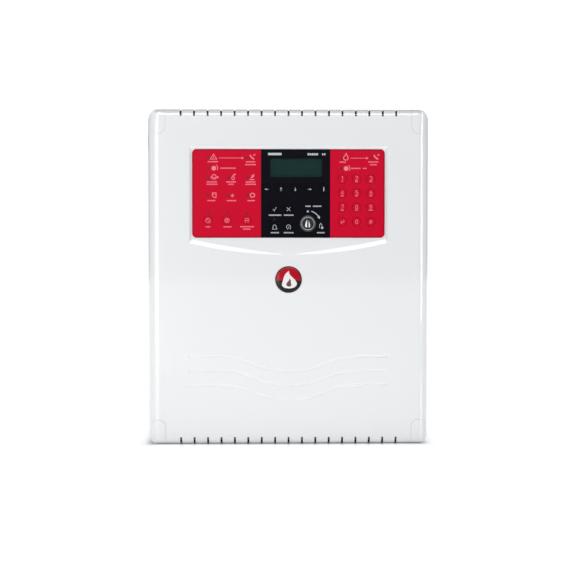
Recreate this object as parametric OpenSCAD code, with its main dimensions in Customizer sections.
// Wall-mounted fire alarm control panel: a moulded case with a hinged front cover.
// Origin at the centre of the back face, +X to the right, -Y out of the wall, +Z up.

/* [Cabinet] */
// Width of the cabinet
body_w = 324; // [324:1:400]
// Height of the cabinet
body_h = 386; // [372:1:480]
// Depth of the rear case, from the wall to the seam
base_d = 64; // [60:1:80]
// Depth of the front cover, from the seam to the front face
cover_d = 46; // [42:1:60]
// Thickness of the walls of both mouldings
wall = 3; // [2.6:0.1:3.6]
// Gap between the case and the cover at the seam
seam_gap = 0.2; // [0.1:0.1:0.5]
// Radius of the four corners seen from the front
corner_r = 13; // [9:1:16]
// Radius of the long edges of the front face
side_round = 13; // [9:1:16]
// Radius of the top and bottom edges of the front face
end_round = 7; // [5:1:9]

/* [Vent slots] */
// Number of slots in each row
vent_count = 17; // [5:2:19]
// Distance from slot to slot
vent_pitch = 15.5; // [10:0.5:15.5]
// Width of a slot
vent_w = 2; // [1:0.1:3]
// Length of a slot along the cabinet's depth
vent_d = 18; // [10:1:24]

/* [Keypad] */
// Width of the printed sheet
sheet_w = 222; // [218:1:240]
// Height of the printed sheet
sheet_h = 102; // [100:1:116]
// Corner radius of the printed sheet
sheet_r = 5; // [2:0.5:8]
// Thickness of the printed sheet
sheet_t = 0.5; // [0.3:0.1:1]
// Distance from the cabinet's top to the printed sheet
sheet_drop = 45.8; // [40:0.1:60]
// Left and right edges of the black field
black_left = -31.8; // [-40:0.1:-30]
black_right = 48.1; // [46:0.1:52]
// Depth of the recess that the sheet lies in
recess_depth = 2.5; // [1.5:0.1:3]
// Flat margin between the sheet and the recess wall
recess_margin = 0.8; // [0.3:0.1:2]
// Width of the sloped recess wall
recess_slope = 2.2; // [1:0.1:4]
// How far the lower slope reaches down at the middle
smile_drop = 19.5; // [12:0.5:20]
// How far the lower slope reaches down at its ends
smile_end = 6.2; // [4:0.1:10]
// Diameter of a key
key_d = 9.6; // [8:0.1:10]
// Distance from number key to number key
key_pitch = 16.45; // [14:0.05:17]
// How far a key presses in
key_travel = 0.5; // [0.3:0.1:0.6]
// How far a key stands proud of the sheet
key_proud = 0.3; // [0:0.1:0.5]
// Width of the display window
display_w = 60.4; // [50:0.2:62]
// Height of the display window
display_h = 22.2; // [18:0.2:24]
// Diameter of the access switch's barrel
switch_d = 16; // [14:0.5:18]

/* [Emblem and grooves] */
// Diameter of the round emblem
badge_d = 30.5; // [20:0.5:34]
// Distance from the printed sheet's lower edge to the emblem's centre
badge_drop = 48.1; // [46:0.1:52]
// Distance from the cabinet's bottom to the ends of the lowest groove
wave_rise = 68.4; // [60:0.2:74]
// Distance from groove to groove
wave_pitch = 16.4; // [12:0.2:17]
// Half the length of a groove
wave_reach = 114; // [90:1:130]
// Half the length of the curved stretch
wave_curve = 82; // [60:1:88]
// How far a groove dips at the middle
wave_dip = 17.4; // [10:0.2:24]
// Width of a groove
wave_w = 3.2; // [2:0.1:4]
// Depth of a groove
wave_depth = 0.9; // [0.4:0.1:1.2]

/* [Hinge and corners] */
// Distance from the cabinet's side to the corner screws
screw_in_x = 11.5; // [10:0.5:13]
// Distance from the cabinet's end to the corner screws
screw_in_z = 16; // [14:0.5:18]
// Width of a corner cap
cap_w = 17; // [15:0.5:18]
// Length of a corner cap, from the cabinet's end
cap_len = 28; // [25:0.5:34]
// Thickness of a corner cap
cap_t = 4; // [3.2:0.2:5]
// Gap round a corner cap
cap_gap = 0.2; // [0.1:0.05:0.4]
// Radius of the hinge barrels
barrel_r = 3; // [2.6:0.1:3.4]
// Radius of the hinge pins
pin_r = 1.25; // [1:0.05:1.5]

/* [Mounting and electrics] */
// Width between the wall screws
mount_w = 260; // [200:5:270]
// Height between the wall screws
mount_h = 300; // [240:5:320]
// Radius of a wall screw hole
mount_r = 2.75; // [2:0.25:3.5]
// Length of a standby battery
battery_l = 151; // [120:1:151]
// Depth of a standby battery
battery_d = 65; // [50:1:66]
// Height of a standby battery
battery_h = 94; // [80:1:98]
// Width of the main board
board_w = 200; // [180:1:204]
// Height of the main board
board_h = 198; // [180:1:206]
// Thickness of the circuit boards
board_t = 1.6; // [1:0.2:2]
// Height of the standoffs under the boards
standoff_h = 10; // [6:0.5:12]
// Width of the power supply
supply_w = 78; // [70:1:84]
// Height of the power supply
supply_h = 130; // [120:1:150]
// Width of the ribbon cable
ribbon_w = 26; // [20:1:30]

/* [Hidden] */
$fn = 64;
EPS = 0.01;
// Levels along Y. Everything that faces the front has a negative Y.
seam_y = -base_d;
front_y = -(base_d + cover_d);
inner_y = front_y + wall;
floor_y = front_y + recess_depth;
plate_y = floor_y + wall;
sheet_y = floor_y - sheet_t;
hinge_y = seam_y - seam_gap / 2;
half_w = body_w / 2;
half_h = body_h / 2;
hinge_x = -half_w;
// The printed sheet and what is laid out on it, measured from its centre
sheet_z = half_h - sheet_drop - sheet_h / 2;
sheet_low = sheet_z - sheet_h / 2;
display_x = 8.85;
display_z = sheet_z + 29.65;
lens_edge = 2.2;
lens_t = 1;
nav_z = sheet_z + 4.9;
function_x = -16;
function_z = sheet_z - 18;
function_drop = 20.7;
switch_x = 22.3;
switch_z = sheet_z - 34.6;
pad_x = 78.6;
pad_z = sheet_z + 16.75;
left_key_z = sheet_z - 31;
// Keys: name, x, z
KEYS = concat(
  [for (i = [0 : 4]) [["key_left", "key_up", "key_down", "key_right", "key_info"][i],
                      7.75 + (i - 2) * key_pitch, nav_z]],
  [["key_confirm", function_x, function_z], ["key_cancel", 0, function_z],
   ["key_buzzer_off", function_x, function_z - function_drop],
   ["key_reset", 0, function_z - function_drop],
   ["key_test", -92.8, left_key_z], ["key_delay", -70.9, left_key_z],
   ["key_evacuate", -48, left_key_z]],
  [for (i = [0 : 11]) [["key_1", "key_2", "key_3", "key_4", "key_5", "key_6", "key_7", "key_8",
                        "key_9", "key_back", "key_0", "key_hash"][i],
                       pad_x + (i % 3 - 1) * key_pitch, pad_z - floor(i / 3) * key_pitch]]);
// Status lamps: x, z
LAMPS = concat(
  [for (x = [-92.2, -48, 61, 95.5]) [x, sheet_z + 41]],
  [for (x = [-92.4, 60.7]) [x, sheet_z + 28.9]],
  [for (x = [-92.4, -68.8, -47.7]) [x, sheet_z + 18.6]],
  [for (x = [-92.4, -68.8, -46.7]) [x, sheet_z - 2.2]],
  [for (x = [-92.1, -70.3, -48]) [x, sheet_z - 22.8]],
  [[-16.5, sheet_z - 29.8]]);
lamp_r = 1.5;
lamp_hole_r = 1.8;
// A key's cap sits in a counterbore, its stem goes through, and its collar holds it in
key_gap = 0.4;
cap_thick = 1.7;
stem_r = 3;
stem_hole_r = 3.3;
collar_r = 4.2;
collar_t = 0.8;
collar_gap = 0.3;
key_front = sheet_y - key_proud;
key_back_y = key_front + cap_thick;
collar_y = plate_y + collar_gap;
stem_end = collar_y + collar_t + 1;
// The keypad's circuit board stands behind the plate on bosses
tact_gap = 0.15;
tact_h = 5;
tact_button_h = 1.5;
panel_front = stem_end + key_travel + tact_gap + tact_h;
panel_back = panel_front + board_t;
panel_w = sheet_w - 6;
panel_h = sheet_h - 5;
PANEL_BOSSES = [for (x = [-1, 1]) for (z = [-1, 1]) [x * (panel_w / 2 - 4), z * (panel_h / 2 - 4)]];
boss_r = 3.2;
thread_r = 1.2;
small_head_r = 2.6;
// The emblem and its seat
badge_z = sheet_low - badge_drop;
badge_sink = 1;
badge_gap = 0.4;
badge_pad = 3;
// Access switch: ring, barrel and turning plug
ring_r = 10.2;
ring_t = 1.6;
switch_run = 0.15;
plug_r = 6.4;
plug_run = 0.1;
plug_shaft_r = 2.9;
barrel_len = 20;
barrel_floor = 2;
// Corners: side (-1 left, 1 right), end (-1 bottom, 1 top)
CORNERS = [[-1, 1], [1, 1], [-1, -1], [1, -1]];
CAPS = ["cap_top_left", "cap_top_right", "cap_bottom_left", "cap_bottom_right"];
screw_x = half_w - screw_in_x;
screw_z = half_h - screw_in_z;
cap_back = front_y + cap_t;
cap_floor = cap_back + cap_gap;
cap_shelf = cap_floor + wall;
peg_r = 2.9;
tube_bore = 3;
tube_r = 5;
peg_len = 16;
head_r = 2.8;
head_t = 2.2;
head_y = cap_back + peg_len + head_t + 1;
shank_r = 1.5;
shank_hole_r = 1.8;
seat_t = 4;
arm_t = 3;
post_r = 5.5;
cover_screw_reach = 10;
post_gap = 3;
// Hinge barrels, measured from the corner screws towards the middle
arm_gap = 0.2;
arm_near = 11;
arm_barrel = 12;
case_barrel = 8;
barrel_gap = 0.4;
barrel_room = 0.7;
arm_run = 0.05;
arm_far = arm_near + arm_barrel;
// The case's rim that the cover closes over
rim_in = wall + 0.3;
rim_t = 1.5;
rim_h = 2;
// Standby batteries on their shelf
shelf_z = -screw_z + post_r + 1.5;
shelf_t = 2.5;
battery_z = shelf_z + shelf_t;
battery_gap = 0.5;
mount_boss = 1.5;
battery_back = -wall - mount_boss - battery_gap;
battery_front = battery_back - battery_d;
arm_back = min(seam_y - 3, battery_front - 1);
arm_front = arm_back - arm_t;
battery_mid_gap = 5;
tab_h = 4;
tab_in = 12.5;
tab_w = 5;
lead_z = battery_z + battery_h + tab_h;
strap_z = battery_z + battery_h * 0.6;
strap_w = 16;
strap_t = 1;
strap_drop = 8;
strap_y = seam_y + strap_drop;
battery_side = battery_mid_gap / 2 + battery_l;
strap_in = battery_side + battery_gap;
strap_play = 0.3;
strap_head_r = min(1.7, (half_w - wall - strap_in - strap_t) / 2 - strap_play);
strap_hole_x = strap_in + strap_t + strap_play + strap_head_r;
// Main board, measured from the inside of the case
board_x = -half_w + wall + 16 + board_w / 2;
board_z = half_h - wall - 24 - board_h / 2;
board_back = -wall - standoff_h;
board_front = board_back - board_t;
BOARD_HOLES = [for (x = [-1, 0, 1]) for (z = [-1, 1]) [board_x + x * (board_w / 2 - 6),
                                                       board_z + z * (board_h / 2 - 6)]];
// Power supply to the right of the main board
supply_x = half_w - wall - 8 - supply_w / 2;
supply_z = half_h - wall - 24 - supply_h / 2;
supply_t = 1.5;
supply_flange = 30;
SUPPLY_HOLES = [for (x = [-1, 1]) for (z = [-1, 1]) [supply_x + x * (supply_w / 2 - 7),
                                                     supply_z + z * (supply_h / 2 - 6)]];
supply_gap = 6;
supply_pillar = 6;
supply_plate = -wall - supply_gap;
supply_back = supply_plate - supply_t - supply_pillar;
supply_front = supply_back - board_t;
mains_z = supply_z - supply_h / 2 - 30;
mains_hole = 28;
mains_t = 3;
// Small screws: head height, and how far they reach past what they hold
small_head_t = 1.8;
screw_bite = 6;
// Opening in the back wall for the field wiring
entry_w = 100;
entry_h = 18;
entry_z = (lead_z + board_z - board_h / 2) / 2 + 4;
// Ribbon cable: it loops past the hinge, so that the cover can swing
ribbon_t = 1.3;
ribbon_z = sheet_z;
header_x = board_x - board_w / 2 + 9;
header_h = 9;
panel_edge = -panel_w / 2;
ribbon_x = -half_w + wall + 6;
ribbon_deep = panel_back + 4.5;
RIBBON = [[header_x, board_front - header_h], [header_x, -44], [ribbon_x + 5, -48], [ribbon_x, -54],
          [ribbon_x, -78], [ribbon_x + 6, ribbon_deep + 2], [ribbon_x + 14, ribbon_deep],
          [panel_edge + 8, ribbon_deep]];

// Gives an outline drawn in X and Z its depth, from the level y_front back to y_back.
module along_y(y_front, y_back) {
  translate([0, y_back, 0]) rotate([90, 0, 0]) linear_extrude(y_back - y_front) children();
}
// A cylinder along Y, from the level y_front back to y_back.
module bar_y(r, y_front, y_back, x = 0, z = 0) {
  translate([x, y_back, z]) rotate([90, 0, 0]) cylinder(r = r, h = y_back - y_front);
}
// A block given by its lowest and highest corners.
module block(low, high) {
  translate(low) cube(high - low);
}
// A rectangle with round corners, about the origin.
module round_rect(w, h, r) {
  square([w - 2 * r, h], center = true);
  square([w, h - 2 * r], center = true);
  for (x = [-1, 1]) for (z = [-1, 1]) translate([x * (w / 2 - r), z * (h / 2 - r)]) circle(r);
}
// The cabinet's outline seen from the front, smaller by inset on every side.
module outline(inset) {
  round_rect(body_w - 2 * inset, body_h - 2 * inset, corner_r - inset);
}
// A half section of the cabinet: wide across, deep towards the front, with two round edges.
module edge_section(width, front, r) {
  square_back = 1;
  translate([-width / 2, front + r]) square([width, -front - r + square_back]);
  translate([-width / 2 + r, front]) square([width - 2 * r, r + square_back]);
  for (s = [-1, 1]) translate([s * (width / 2 - r), front + r]) circle(r);
}
// The cabinet's whole outer shape, smaller by inset on the sides, the ends and the front.
module cabinet(inset, y_front, y_back) {
  intersection() {
    along_y(y_front, y_back) outline(inset);
    translate([0, 0, -half_h]) linear_extrude(body_h)
      edge_section(body_w - 2 * inset, front_y + inset, side_round - inset);
    translate([-half_w, 0, 0]) rotate([90, 0, 90]) linear_extrude(body_w)
      mirror([1, -1, 0]) edge_section(body_h - 2 * inset, front_y + inset, end_round - inset);
  }
}

// The recess for the printed sheet: flat floor, sloped walls, and a lower slope with a bowed edge.
smile_half = sheet_w / 2 + recess_margin + recess_slope;
smile_sag = smile_drop - smile_end;
smile_r = (smile_half * smile_half + smile_sag * smile_sag) / (2 * smile_sag);
SMILE = [for (i = [0 : 32])
           let(x = smile_half * (1 - i / 16))
           [x, -smile_end - (sqrt(smile_r * smile_r - x * x) - (smile_r - smile_sag))]];
module recess_mouth(y_front) {
  top = sheet_h + recess_margin + recess_slope;
  along_y(y_front, y_front + EPS) translate([0, sheet_low])
    polygon(concat([[-smile_half, top], [smile_half, top]], SMILE));
}
module recess() {
  hull() {
    recess_mouth(front_y - EPS / 2);
    along_y(floor_y - EPS, floor_y) translate([0, sheet_z])
      square([sheet_w + 2 * recess_margin, sheet_h + 2 * recess_margin], center = true);
  }
}
// One wave groove: flat at the ends, with a smooth dip at the middle.
wave_bend = (wave_curve * wave_curve + wave_dip * wave_dip) / (4 * wave_dip);
function wave_z(x) =
  let(a = abs(x), half = wave_curve / 2)
  a >= wave_curve ? 0
  : a >= half ? sqrt(pow(wave_bend, 2) - pow(wave_curve - a, 2)) - wave_bend
  : -wave_dip + wave_bend - sqrt(pow(wave_bend, 2) - a * a);
wave_steps = 40;
WAVE_X = concat([-wave_reach], [for (i = [0 : wave_steps]) wave_curve * (2 * i / wave_steps - 1)],
                [wave_reach]);
// Rings of the groove's half-round section: width across, depth into the face.
GROOVE = [for (a = [0 : 30 : 180]) [cos(a) * wave_w / 2, sin(a) * wave_depth]];
function wave_slope(x) = (wave_z(x + 0.5) - wave_z(x - 0.5));
function ring(x, share, along) =
  let(t = atan(wave_slope(x)))
  [for (g = concat([[wave_w / 2, -1]], GROOVE, [[-wave_w / 2, -1]]))
     let(g1 = [g[0] * share, g[1] < 0 ? g[1] : g[1] * share])
     [x + along * cos(t) - g1[0] * sin(t), g1[1], wave_z(x) + along * sin(t) + g1[0] * cos(t)]];
module groove() {
  ends = [[0.05, 1], [0.5, 0.87], [0.87, 0.5]];
  rings = concat(
    [for (e = ends) ring(-wave_reach, e[0], -e[1] * wave_w / 2)],
    [for (x = WAVE_X) ring(x, 1, 0)],
    [for (i = [2 : -1 : 0]) ring(wave_reach, ends[i][0], ends[i][1] * wave_w / 2)]);
  n = len(rings[0]);
  m = len(rings);
  polyhedron(
    points = [for (r = rings) for (p = r) p],
    faces = concat(
      [[for (i = [n - 1 : -1 : 0]) i]],
      [for (j = [0 : m - 2]) for (i = [0 : n - 1])
         [j * n + i, (j + 1) * n + (i + 1) % n, (j + 1) * n + i]],
      [for (j = [0 : m - 2]) for (i = [0 : n - 1])
         [j * n + i, j * n + (i + 1) % n, (j + 1) * n + (i + 1) % n]],
      [[for (i = [0 : n - 1]) (m - 1) * n + i]]));
}

// Outline of a corner cap's seat, seen from the front, larger by grow.
module tongue(side, end, grow) {
  r = cap_w / 2 + grow;
  mid = side * (screw_x);
  inner = end * (half_h - cap_len) + end * cap_w / 2;
  translate([mid, inner]) circle(r);
  translate([mid - r, min(inner, end * (half_h + 1))]) square([2 * r, abs(end * (half_h + 1) - inner)]);
}

// Where the hinge barrels lie: distance from the screw height towards the middle.
function barrel_span(end, near, far) =
  let(a = end * (screw_z - near), b = end * (screw_z - far)) [min(a, b), max(a, b)];
module barrel(end, near, far, r) {
  span = barrel_span(end, near, far);
  translate([hinge_x, hinge_y, span[0]]) cylinder(r = r, h = span[1] - span[0]);
}
// Room for the arm's barrel in the case, and for the case's barrels in the cover.
module arm_room(end) {
  barrel(end, arm_near - barrel_gap, arm_far + barrel_gap, barrel_r + barrel_room);
}
module case_barrels(end, r, gap) {
  barrel(end, arm_near - barrel_gap - case_barrel - gap, arm_near - barrel_gap, r);
  barrel(end, arm_far + barrel_gap, arm_far + barrel_gap + case_barrel + gap, r);
}

module rear_base() {
  color("whitesmoke")
  difference() {
    union() {
      difference() {
        along_y(seam_y, 0) outline(0);
        along_y(seam_y - 1, -wall) outline(wall);
      }
      // rim under the cover
      difference() {
        along_y(seam_y - rim_h, seam_y + 2) outline(rim_in);
        along_y(seam_y - rim_h - 1, seam_y + 3) outline(rim_in + rim_t);
        for (e = [-1, 1]) {
          span = barrel_span(e, -screw_in_z, arm_far + barrel_gap + case_barrel + 2);
          block([-half_w, seam_y - rim_h - 1, span[0]],
                [-screw_x + tube_r + 4, seam_y + 3, span[1]]);
        }
      }
      // rim's root, joining it to the case wall
      difference() {
        along_y(seam_y + 1, seam_y + 4) outline(wall - 0.5);
        along_y(seam_y, seam_y + 5) outline(rim_in + rim_t);
        for (e = [-1, 1]) {
          span = barrel_span(e, -screw_in_z, arm_far + barrel_gap + case_barrel + 2);
          block([-half_w + wall, seam_y, span[0]],
                [-screw_x + tube_r + 4, seam_y + 5, span[1]]);
        }
      }
      for (e = [-1, 1]) case_barrels(e, barrel_r, 0);
      for (e = [-1, 1]) bar_y(post_r, seam_y + post_gap, -wall + EPS, screw_x, e * screw_z);
      for (h = BOARD_HOLES) bar_y(4, board_back, -wall + EPS, h[0], h[1]);
      for (h = SUPPLY_HOLES) bar_y(4, -wall - supply_gap, -wall + EPS, h[0], h[1]);
      for (x = [-1, 1]) bar_y(4, -wall - supply_gap, -wall + EPS, supply_x + x * mains_hole, mains_z);
      for (x = [-1, 1]) for (z = [-1, 1])
        bar_y(7, -wall - mount_boss, -wall + EPS, x * mount_w / 2, z * mount_h / 2);
      // battery shelf
      block([-half_w + wall - EPS, seam_y + 4, shelf_z], [half_w - wall + EPS, -wall + EPS, battery_z]);
      // strap blocks on the side walls
      for (s = [-1, 1])
        block([s > 0 ? battery_side + strap_play : -half_w + wall - EPS, strap_y, strap_z - strap_w / 2],
              [s > 0 ? half_w - wall + EPS : -battery_side - strap_play,
               -wall + EPS, strap_z + strap_w / 2]);
    }
    for (e = [-1, 1]) {
      arm_room(e);
      span = barrel_span(e, arm_near - barrel_gap - case_barrel - 1, arm_far + barrel_gap + case_barrel + 1);
      translate([hinge_x, hinge_y, span[0]]) cylinder(r = pin_r, h = span[1] - span[0]);
    }
    for (e = [-1, 1]) {
      bar_y(shank_hole_r, seam_y - 1, seam_y + cover_screw_reach + 4, screw_x, e * screw_z);
    }
    for (h = BOARD_HOLES) bar_y(thread_r, board_back - 1, board_back + 8, h[0], h[1]);
    for (h = SUPPLY_HOLES) bar_y(thread_r, -wall - supply_gap - 1, -wall, h[0], h[1]);
    for (x = [-1, 1]) bar_y(thread_r, -wall - supply_gap - 1, -wall, supply_x + x * mains_hole, mains_z);
    for (x = [-1, 1]) for (z = [-1, 1])
      bar_y(mount_r, -wall - 3, 1, x * mount_w / 2, z * mount_h / 2);
    // field wiring entry
    along_y(-wall - 2, 1) translate([0, entry_z]) round_rect(entry_w, entry_h, 4);
    // strap screw holes
    for (s = [-1, 1]) bar_y(thread_r, seam_y, seam_y + strap_drop + 8, s * strap_hole_x, strap_z);
    // cable knock-outs: thin rings left in the top wall
    for (x = [-1.5 : 1 : 1.5]) translate([x * 60, -base_d / 2, half_h]) difference() {
      translate([0, 0, -wall * 0.7]) cylinder(r = 10, h = wall);
      translate([0, 0, -wall]) cylinder(r = 9.2, h = 3 * wall);
    }
  }
}

module front_cover() {
  color("whitesmoke")
  difference() {
    union() {
      difference() {
        cabinet(0, front_y, seam_y - seam_gap);
        difference() {
          cabinet(wall, inner_y, seam_y);
          // plate behind the printed sheet, and the shelves under the corner caps
          block([-smile_half - wall, inner_y - 1, sheet_low - smile_drop - wall],
                [smile_half + wall, plate_y, sheet_low + sheet_h + recess_margin + recess_slope + wall]);
          for (c = CORNERS) along_y(inner_y - 1, cap_shelf) tongue(c[0], c[1], 2.5);
          bar_y(badge_d / 2 + badge_pad, inner_y - 1, inner_y + badge_sink - EPS, 0, badge_z);
        }
      }
      for (c = CORNERS)
        bar_y(tube_r, cap_shelf - 1, c[0] < 0 ? arm_front : head_y + seat_t, c[0] * screw_x, c[1] * screw_z);
      for (p = PANEL_BOSSES) bar_y(boss_r, plate_y - 1, panel_front, p[0], sheet_z + p[1]);
    }
    recess();
    for (e = [-1, 1]) for (i = [0 : vent_count - 1]) vent(e, (i - (vent_count - 1) / 2) * vent_pitch);
    for (i = [0 : 2]) translate([0, front_y, -half_h + wave_rise + i * wave_pitch]) groove();
    // emblem seat
    bar_y(badge_d / 2 + badge_gap, front_y - 1, front_y + badge_sink, 0, badge_z);
    // corner cap seats, screw tubes
    for (c = CORNERS) {
      along_y(front_y - 1, cap_floor) tongue(c[0], c[1], cap_gap);
      bar_y(tube_bore, cap_floor - 1, head_y, c[0] * screw_x, c[1] * screw_z);
      bar_y(shank_hole_r, head_y - 1, seam_y, c[0] * screw_x, c[1] * screw_z);
    }
    // keys: counterbore and stem hole
    for (k = KEYS) {
      bar_y(key_d / 2 + key_gap, floor_y - 1, key_back_y + key_travel + 0.2, k[1], k[2]);
      bar_y(stem_hole_r, floor_y - 1, plate_y + 1, k[1], k[2]);
    }
    for (l = LAMPS) bar_y(lamp_hole_r, floor_y - 1, plate_y + 1, l[0], l[1]);
    // display: ledge for the lens, window through
    along_y(floor_y - 1, floor_y + lens_t) translate([display_x, display_z])
      square([display_w + 2 * lens_edge, display_h + 2 * lens_edge], center = true);
    along_y(floor_y - 1, plate_y + 1) translate([display_x, display_z])
      square([display_w, display_h], center = true);
    bar_y(switch_d / 2 + switch_run, floor_y - 1, plate_y + 1, switch_x, switch_z);
    for (p = PANEL_BOSSES)
      bar_y(thread_r, panel_front - screw_bite, panel_front + 1, p[0], sheet_z + p[1]);
    // room for the hinge on the left wall
    for (e = [-1, 1]) {
      case_barrels(e, barrel_r + barrel_room, barrel_gap);
      span = barrel_span(e, arm_near - barrel_gap, arm_far + barrel_gap);
      block([-half_w - 1, arm_front - arm_gap, span[0]], [-half_w + wall + 1, seam_y + 1, span[1]]);
    }
  }
}
module vent(end, x) {
  rim = end_round - 1;
  low = end > 0 ? half_h - rim : -half_h - 1;
  block([x - vent_w / 2, front_y - 1, low], [x + vent_w / 2, front_y + vent_d, low + rim + 1]);
}

module corner_cap(i) {
  side = CORNERS[i][0];
  end = CORNERS[i][1];
  color("whitesmoke")
  union() {
    intersection() {
      cabinet(0, front_y, cap_back);
      along_y(front_y - 1, cap_back + 1) tongue(side, end, 0);
    }
    bar_y(peg_r, cap_back - 1, cap_back + peg_len, side * screw_x, end * screw_z);
  }
}

// A hinge arm: a barrel round the pin, and a plate that the corner screw holds.
module hinge_arm(end) {
  near = barrel_span(end, arm_near, arm_far);
  reach = barrel_span(end, -tube_r + 0.5, arm_far);
  inside = -half_w + wall + 0.4;
  color("gray")
  difference() {
    union() {
      barrel(end, arm_near, arm_far, barrel_r);
      block([-half_w, arm_front, near[0]], [-half_w + barrel_r - arm_gap, hinge_y, near[1]]);
      block([-half_w + 0.2, arm_front, near[0]], [-screw_x + tube_r, arm_front + arm_t, near[1]]);
      block([inside, arm_front, reach[0]], [-screw_x + tube_r, arm_front + arm_t, reach[1]]);
    }
    translate([hinge_x, hinge_y, near[0] - 1]) cylinder(r = pin_r + arm_run, h = near[1] - near[0] + 2);
    bar_y(shank_r, arm_front - 1, arm_front + arm_t + 1, -screw_x, end * screw_z);
  }
}
module hinge_arm_top() hinge_arm(1);
module hinge_arm_bottom() hinge_arm(-1);

module hinge_pins() {
  color("silver")
  for (e = [-1, 1])
    barrel(e, arm_near - barrel_gap - case_barrel, arm_far + barrel_gap + case_barrel, pin_r);
}

// A pan-head screw along Y with a cross slot, its head's underside at the level y.
module screw(x, z, y, head, depth, r, tip) {
  slot_w = head * 0.3;
  difference() {
    union() {
      bar_y(head, y - depth, y, x, z);
      bar_y(r, y - EPS, tip, x, z);
    }
    for (a = [0, 90]) translate([x, y - depth, z]) rotate([0, a, 0])
      cube([slot_w, depth, head * 1.3], center = true);
  }
}
module hinge_arm_screws() {
  color("silver")
  for (e = [-1, 1]) screw(-screw_x, e * screw_z, head_y, head_r, head_t, shank_r, arm_front + arm_t + 2);
}
module cover_screws() {
  color("silver")
  for (e = [-1, 1]) screw(screw_x, e * screw_z, head_y, head_r, head_t, shank_r, seam_y + cover_screw_reach);
}

module keypad_overlay() {
  color("crimson")
  difference() {
    along_y(sheet_y, floor_y) translate([0, sheet_z]) round_rect(sheet_w, sheet_h, sheet_r);
    for (k = KEYS) bar_y(key_d / 2 + key_gap, sheet_y - 1, floor_y + 1, k[1], k[2]);
    along_y(sheet_y - 1, floor_y + 1) translate([display_x, display_z])
      square([display_w, display_h], center = true);
    bar_y(switch_d / 2 + switch_run, sheet_y - 1, floor_y + 1, switch_x, switch_z);
  }
}

module display_window() {
  edge = lens_edge - 0.2;
  color("darkslategray", 0.6)
  along_y(floor_y, floor_y + lens_t) translate([display_x, display_z])
    square([display_w + 2 * edge, display_h + 2 * edge], center = true);
}

// Display module: a metal frame round the glass, on its own small board.
module lcd_module() {
  frame_w = display_w + 8;
  frame_h = display_h + 7;
  frame_front = plate_y + 0.3;
  glass_front = frame_front + 1;
  color("darkslategray")
  difference() {
    along_y(frame_front, panel_front) translate([display_x, display_z])
      round_rect(frame_w, frame_h, 1);
    along_y(frame_front - 1, glass_front) translate([display_x, display_z])
      square([display_w + 1, display_h + 1], center = true);
  }
}

module panel_board() {
  color("darkgreen")
  difference() {
    along_y(panel_front, panel_back) translate([0, sheet_z]) round_rect(panel_w, panel_h, 2);
    bar_y(switch_d / 2 + 6, panel_front - 1, panel_back + 1, switch_x, switch_z);
    for (p = PANEL_BOSSES) bar_y(thread_r + 0.4, panel_front - 1, panel_back + 1, p[0], sheet_z + p[1]);
  }
}
// These screws point towards the front, so each is turned round about the board's back.
module panel_board_screws() {
  color("silver")
  for (p = PANEL_BOSSES) translate([p[0], 2 * panel_back, sheet_z + p[1]]) mirror([0, 1, 0])
    screw(0, 0, panel_back, small_head_r, small_head_t, thread_r, panel_back + screw_bite);
}

// One push switch under each key.
module tact_switches() {
  body_w = 6;
  body_t = tact_h - tact_button_h;
  button_r = 1.7;
  color("dimgray")
  for (k = KEYS) union() {
    along_y(panel_front - body_t, panel_front) translate([k[1], k[2]]) square(body_w, center = true);
    bar_y(button_r, panel_front - tact_h, panel_front - body_t + EPS, k[1], k[2]);
  }
}

module status_leds() {
  tip = floor_y + 0.3;
  color("darkred")
  for (l = LAMPS) union() {
    bar_y(lamp_r, tip + lamp_r, panel_front, l[0], l[1]);
    translate([l[0], tip + lamp_r, l[1]]) rotate([90, 0, 0]) rotate_extrude()
      intersection() {
        circle(lamp_r);
        square(lamp_r);
      }
  }
}

module buzzer() {
  buzzer_r = 6;
  buzzer_t = 9.5;
  sound_hole_r = 1;
  x = pad_x;
  z = sheet_z - 12;
  color("black")
  difference() {
    bar_y(buzzer_r, panel_back, panel_back + buzzer_t, x, z);
    bar_y(sound_hole_r, panel_back + buzzer_t - 1.5, panel_back + buzzer_t + 1, x, z);
  }
}

// Access switch: a ring in front of the sheet, a threaded barrel through the plate.
module access_switch_body() {
  front = sheet_y - ring_t;
  chamfer = 1.2;
  color("dimgray")
  difference() {
    union() {
      translate([switch_x, sheet_y, switch_z]) rotate([90, 0, 0])
        cylinder(r1 = ring_r, r2 = ring_r - chamfer, h = ring_t);
      bar_y(switch_d / 2, sheet_y - EPS, sheet_y + barrel_len, switch_x, switch_z);
    }
    bar_y(plug_r + plug_run, front - 1, sheet_y + barrel_len - barrel_floor, switch_x, switch_z);
    bar_y(plug_shaft_r + 0.2, front - 1, sheet_y + barrel_len + 1, switch_x, switch_z);
  }
}
module access_switch_plug() {
  front = sheet_y - ring_t + 0.3;
  keyway = [1.6, 7];
  keyway_depth = 9;
  color("black")
  difference() {
    union() {
      bar_y(plug_r, front, sheet_y + barrel_len - barrel_floor - 0.2, switch_x, switch_z);
      bar_y(plug_shaft_r, front + 1, sheet_y + barrel_len + 3, switch_x, switch_z);
    }
    along_y(front - 1, front + keyway_depth) translate([switch_x, switch_z]) square(keyway, center = true);
  }
}
module access_switch_nut() {
  nut_t = 2.5;
  nut_r = switch_d / 2 + 3.5;
  color("silver")
  difference() {
    translate([switch_x, plate_y + nut_t, switch_z]) rotate([90, 0, 0])
      cylinder(r = nut_r, h = nut_t, $fn = 6);
    bar_y(switch_d / 2, plate_y - 1, plate_y + nut_t + 1, switch_x, switch_z);
  }
}
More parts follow.
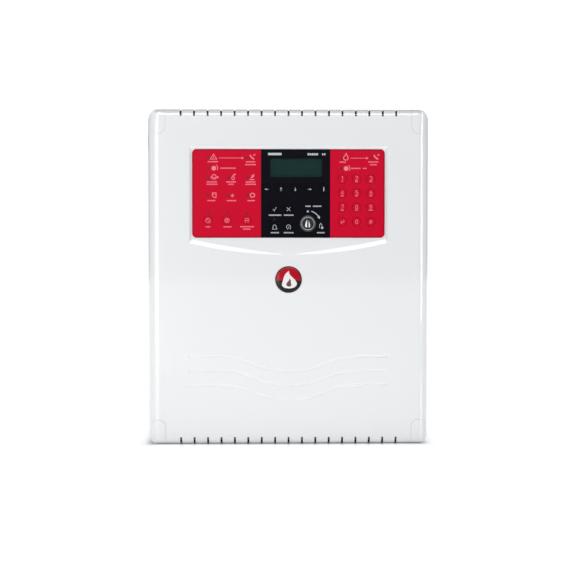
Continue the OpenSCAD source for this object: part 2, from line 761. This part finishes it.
module access_switch_contacts() {
  front = sheet_y + barrel_len;
  size = [20, 9, 16];
  color("darkred")
  difference() {
    block([switch_x - size[0] / 2, front, switch_z - size[2] / 2],
          [switch_x + size[0] / 2, front + size[1], switch_z + size[2] / 2]);
    bar_y(plug_shaft_r + 0.5, front - 1, front + 4, switch_x, switch_z);
  }
}

// Emblem: a flat disc in its seat under a low dome.
module badge() {
  dome_h = 1.3;
  edge_t = 0.2;
  r = badge_d / 2;
  dome_r = (r * r + dome_h * dome_h) / (2 * dome_h);
  color("firebrick")
  union() {
    bar_y(r, front_y - edge_t, front_y + badge_sink, 0, badge_z);
    translate([0, front_y - edge_t, badge_z]) rotate([90, 0, 0]) rotate_extrude()
      intersection() {
        translate([0, dome_h - dome_r]) circle(dome_r, $fn = 180);
        square([r, dome_h]);
      }
  }
}

// A key: cap, stem and the collar that holds it behind the plate.
module key(k) {
  color(abs(k[1] - display_x) < 42 ? "black" : "crimson")
  union() {
    bar_y(key_d / 2, key_front, key_back_y, k[1], k[2]);
    bar_y(stem_r, key_back_y - EPS, stem_end, k[1], k[2]);
    bar_y(collar_r, collar_y, collar_y + collar_t, k[1], k[2]);
  }
}

module main_board() {
  color("seagreen")
  difference() {
    along_y(board_front, board_back) translate([board_x, board_z]) round_rect(board_w, board_h, 2);
    for (h = BOARD_HOLES) bar_y(thread_r + 0.4, board_front - 1, board_back + 1, h[0], h[1]);
  }
}
// The small self-tapping screws of the case: main board, power supply, mains block and strap.
module case_screws() {
  tip = -wall - 1;
  strap_head_t = 1.4;
  color("silver") {
    for (h = BOARD_HOLES)
      screw(h[0], h[1], board_front, small_head_r, small_head_t, thread_r, board_back + screw_bite);
    for (h = SUPPLY_HOLES)
      screw(h[0], h[1], supply_plate - supply_t, small_head_r, small_head_t, thread_r, tip);
    for (x = [-1, 1])
      screw(supply_x + x * mains_hole, mains_z, supply_plate - mains_t, small_head_r, small_head_t,
            thread_r, tip);
    for (s = [-1, 1])
      screw(s * strap_hole_x, strap_z, strap_y - strap_t, strap_head_r, strap_head_t, thread_r,
            strap_y + screw_bite);
  }
}
// Relays, capacitors, chips and the ribbon's header on the main board.
module main_board_parts() {
  left = board_x - board_w / 2;
  low = board_z - board_h / 2;
  relay = [15, 15, 20];
  relay_pitch = 24;
  capacitor_r = 5;
  capacitor_h = 18;
  capacitor_pitch = 12;
  header_w = 9;
  header_end = 2;
  color("darkslategray") {
    for (i = [0 : 5]) on_board(left + 34 + i * relay_pitch, low + 24, relay);
    for (i = [0 : 3])
      bar_y(capacitor_r, board_front - capacitor_h, board_front, left + 150 + capacitor_pitch * i, low + 70);
    on_board(left + 66, low + 88, [28, 2.5, 28]);
    on_board(left + 116, low + 92, [10, 4, 30]);
    on_board(left + 40, low + 140, [10, 4, 25]);
    on_board(left + 66, low + 140, [10, 4, 25]);
    bar_y(4, board_front - 6, board_front, left + 24, low + 96);
    on_board(header_x - header_w / 2, ribbon_z - ribbon_w / 2 - header_end,
             [header_w, header_h, ribbon_w + 2 * header_end]);
  }
}
// A block of the given size on the main board, from its lower left corner.
module on_board(x, z, size) {
  block([x, board_front - size[1], z], [x + size[0], board_front, z + size[2]]);
}
// Screw terminals along the lower and upper edges of the main board.
module terminal_strips() {
  left = board_x - board_w / 2;
  low = board_z - board_h / 2;
  pitch = 5;
  ways = 8;
  strip_t = 14;
  strip_h = 12;
  strip_pitch = 44;
  entry_r = 1.6;
  mouth_w = 3;
  mouth_deep = 6;
  color("seagreen")
  for (e = [0, 1]) for (s = [0 : 3]) {
    x0 = left + 14 + s * strip_pitch;
    z0 = e == 0 ? low + 12 : low + board_h - 12 - strip_h;
    difference() {
      block([x0, board_front - strip_t, z0], [x0 + pitch * ways, board_front, z0 + strip_h]);
      for (i = [0 : ways - 1]) {
        bar_y(entry_r, board_front - strip_t - 1, board_front - strip_t + 3,
              x0 + pitch * (i + 0.5), z0 + strip_h / 2);
        mouth = e == 0 ? z0 - 1 : z0 + strip_h + 1 - mouth_deep;
        block([x0 + pitch * (i + 0.5) - mouth_w / 2, board_front - 8, mouth],
              [x0 + pitch * (i + 0.5) + mouth_w / 2, board_front - 4, mouth + mouth_deep]);
      }
    }
  }
}

// Power supply: an L-shaped aluminium chassis that carries an open circuit board.
module power_supply_chassis() {
  left = supply_x - supply_w / 2;
  low = supply_z - supply_h / 2;
  pillar_r = 3;
  pillar_in_x = 14;
  pillar_in_z = 16;
  slot_pitch = 12;
  slot_h = 4;
  color("silver")
  difference() {
    union() {
      block([left, supply_plate - supply_t, low], [left + supply_w, supply_plate, low + supply_h]);
      block([left + supply_w - supply_t, supply_plate - supply_flange, low],
            [left + supply_w, supply_plate, low + supply_h]);
      for (x = [-1, 1]) for (z = [-1, 1])
        bar_y(pillar_r, supply_back, supply_plate - EPS, supply_x + x * (supply_w / 2 - pillar_in_x),
              supply_z + z * (supply_h / 2 - pillar_in_z));
    }
    for (h = SUPPLY_HOLES) bar_y(thread_r + 0.4, supply_plate - supply_t - 1, supply_plate + 1, h[0], h[1]);
    for (i = [-4 : 4])
      block([left + supply_w - supply_t - 1, supply_plate - supply_flange + 6,
             supply_z + i * slot_pitch - slot_h / 2],
            [left + supply_w + 1, supply_plate - 8, supply_z + i * slot_pitch + slot_h / 2]);
  }
}
// A block on the power supply's board, from its lower left corner, measured from the board's middle.
module on_supply(x, z, size) {
  block([supply_x - 3 + x, supply_front - size[1], supply_z + z],
        [supply_x - 3 + x + size[0], supply_front + EPS, supply_z + z + size[2]]);
}
module power_supply_board() {
  capacitor_r = 7;
  capacitor_h = 26;
  fin_pitch = 6;
  fin = [12, 24, 2];
  color("peru")
  union() {
    along_y(supply_front, supply_back) translate([supply_x - 3, supply_z])
      round_rect(supply_w - 14, supply_h - 22, 2);
    // transformer: core and winding
    on_supply(-20, -8, [32, 24, 30]);
    on_supply(-15, -12, [22, 27, 38]);
    // smoothing capacitors
    for (i = [0 : 2])
      bar_y(capacitor_r, supply_front - capacitor_h, supply_front + EPS,
            supply_x - 23 + i * 17, supply_z - 32);
    // finned heat sink: its fins and the plate that joins them
    for (i = [0 : 5]) on_supply(17, -10 + i * fin_pitch, fin);
    on_supply(22, -10, [2, 24, 5 * fin_pitch + 2]);
    // input filter, input terminals, output terminals
    on_supply(-24, 34, [20, 14, 14]);
    on_supply(2, 36, [24, 12, 10]);
    on_supply(-22, -52, [44, 12, 10]);
  }
}

// Fused mains terminal block, with a screw at each end into the case.
module mains_terminal() {
  body = [46, 24, 18];
  foot = [68, mains_t, 12];
  way_pitch = 13;
  way_r = 3;
  color("whitesmoke")
  difference() {
    union() {
      for (b = [body, foot])
        block([supply_x - b[0] / 2, supply_plate - b[1], mains_z - b[2] / 2],
              [supply_x + b[0] / 2, supply_plate, mains_z + b[2] / 2]);
    }
    for (x = [-1, 1])
      bar_y(thread_r + 0.4, supply_plate - mains_t - 1, supply_plate + 1, supply_x + x * mains_hole, mains_z);
    for (i = [-1 : 1]) {
      // screw well, and the wire's mouth below it
      bar_y(way_r, supply_plate - body[1] - 1, supply_plate - 18, supply_x + i * way_pitch, mains_z + 3);
      block([supply_x + i * way_pitch - way_r, supply_plate - 16, mains_z - body[2] / 2 - 1],
            [supply_x + i * way_pitch + way_r, supply_plate - 8, mains_z - 3]);
    }
  }
}

// A sealed lead-acid battery with two blade terminals on top.
module battery(side) {
  x0 = side > 0 ? battery_mid_gap / 2 : -battery_mid_gap / 2 - battery_l;
  lid_h = 12;
  step = 0.8;
  color("dimgray")
  union() {
    difference() {
      block([x0, battery_front, battery_z], [x0 + battery_l, battery_back, battery_z + battery_h]);
      // step round the lid
      translate([x0 + battery_l / 2, (battery_front + battery_back) / 2, battery_z + battery_h - lid_h])
        difference() {
          cube([battery_l + 2, battery_d + 2, 2 * step], center = true);
          cube([battery_l - 2 * step, battery_d - 2 * step, 3 * step], center = true);
        }
    }
    for (t = [tab_in, battery_l - tab_in])
      block([x0 + t - tab_w / 2, battery_front + 12, battery_z + battery_h - EPS],
            [x0 + t + tab_w / 2, battery_front + 13, battery_z + battery_h + tab_h]);
  }
}
module battery_left() battery(-1);
module battery_right() battery(1);

// Steel strap across both batteries, bent back to the blocks on the side walls.
module battery_strap() {
  out = strap_hole_x + strap_head_r - 0.1;
  face = battery_front - battery_gap;
  low = strap_z - strap_w / 2;
  high = strap_z + strap_w / 2;
  color("silver")
  difference() {
    union() {
      block([-strap_in - strap_t, face - strap_t, low], [strap_in + strap_t, face, high]);
      for (s = [-1, 1]) {
        block([s > 0 ? strap_in : -strap_in - strap_t, face - strap_t, low],
              [s > 0 ? strap_in + strap_t : -strap_in, strap_y, high]);
        block([s > 0 ? strap_in : -out, strap_y - strap_t, low], [s > 0 ? out : -strap_in, strap_y, high]);
      }
    }
    for (s = [-1, 1]) bar_y(thread_r + 0.2, strap_y - 3, strap_y + 1, s * strap_hole_x, strap_z);
  }
}

// Battery leads: from the two middle terminals up to the main board's terminals.
module battery_leads() {
  lead_r = 1.2;
  lug = [6.8, 3.2];
  grip = [tab_w + 0.2, 1.2];
  y = battery_front + 12.5;
  bottom = battery_z + battery_h + 0.5;
  lug_top = lead_z + 4;
  lead_top = board_z - board_h / 2 - 4;
  color("firebrick")
  for (s = [-1, 1]) translate([s * (battery_mid_gap / 2 + tab_in), y, 0]) union() {
    difference() {
      block([-lug[0] / 2, -lug[1] / 2, bottom], [lug[0] / 2, lug[1] / 2, lug_top]);
      block([-grip[0] / 2, -grip[1] / 2, bottom - 1], [grip[0] / 2, grip[1] / 2, lead_z + 0.3]);
    }
    translate([0, 0, lug_top - 1]) cylinder(r = lead_r, h = lead_top - lug_top + 1, $fn = 24);
  }
}

// Ribbon cable: a flat band along its route, the same section everywhere.
function unit(v) = v / norm(v);
function side_of(v) = [-v[1], v[0]];
function ribbon_side(i) =
  let(a = unit(RIBBON[max(i, 1)] - RIBBON[max(i, 1) - 1]),
      last = len(RIBBON) - 1,
      b = unit(RIBBON[min(i, last - 1) + 1] - RIBBON[min(i, last - 1)]),
      s = unit(side_of(a) + side_of(b)))
  s * ribbon_t / 2 / (s * side_of(a));
module ribbon_cable() {
  n = len(RIBBON) - 1;
  color("lightgray")
  translate([0, 0, ribbon_z - ribbon_w / 2]) linear_extrude(ribbon_w)
    polygon(concat([for (i = [0 : n]) RIBBON[i] + ribbon_side(i)],
                   [for (i = [n : -1 : 0]) RIBBON[i] - ribbon_side(i)]));
}

rear_base();
front_cover();
for (i = [0 : 3]) corner_cap(i);
hinge_arm_top();
hinge_arm_bottom();
hinge_pins();
hinge_arm_screws();
cover_screws();
keypad_overlay();
display_window();
lcd_module();
panel_board();
panel_board_screws();
tact_switches();
status_leds();
buzzer();
access_switch_body();
access_switch_plug();
access_switch_nut();
access_switch_contacts();
badge();
for (k = KEYS) key(k);
main_board();
case_screws();
main_board_parts();
terminal_strips();
power_supply_chassis();
power_supply_board();
mains_terminal();
battery_left();
battery_right();
battery_strap();
battery_leads();
ribbon_cable();
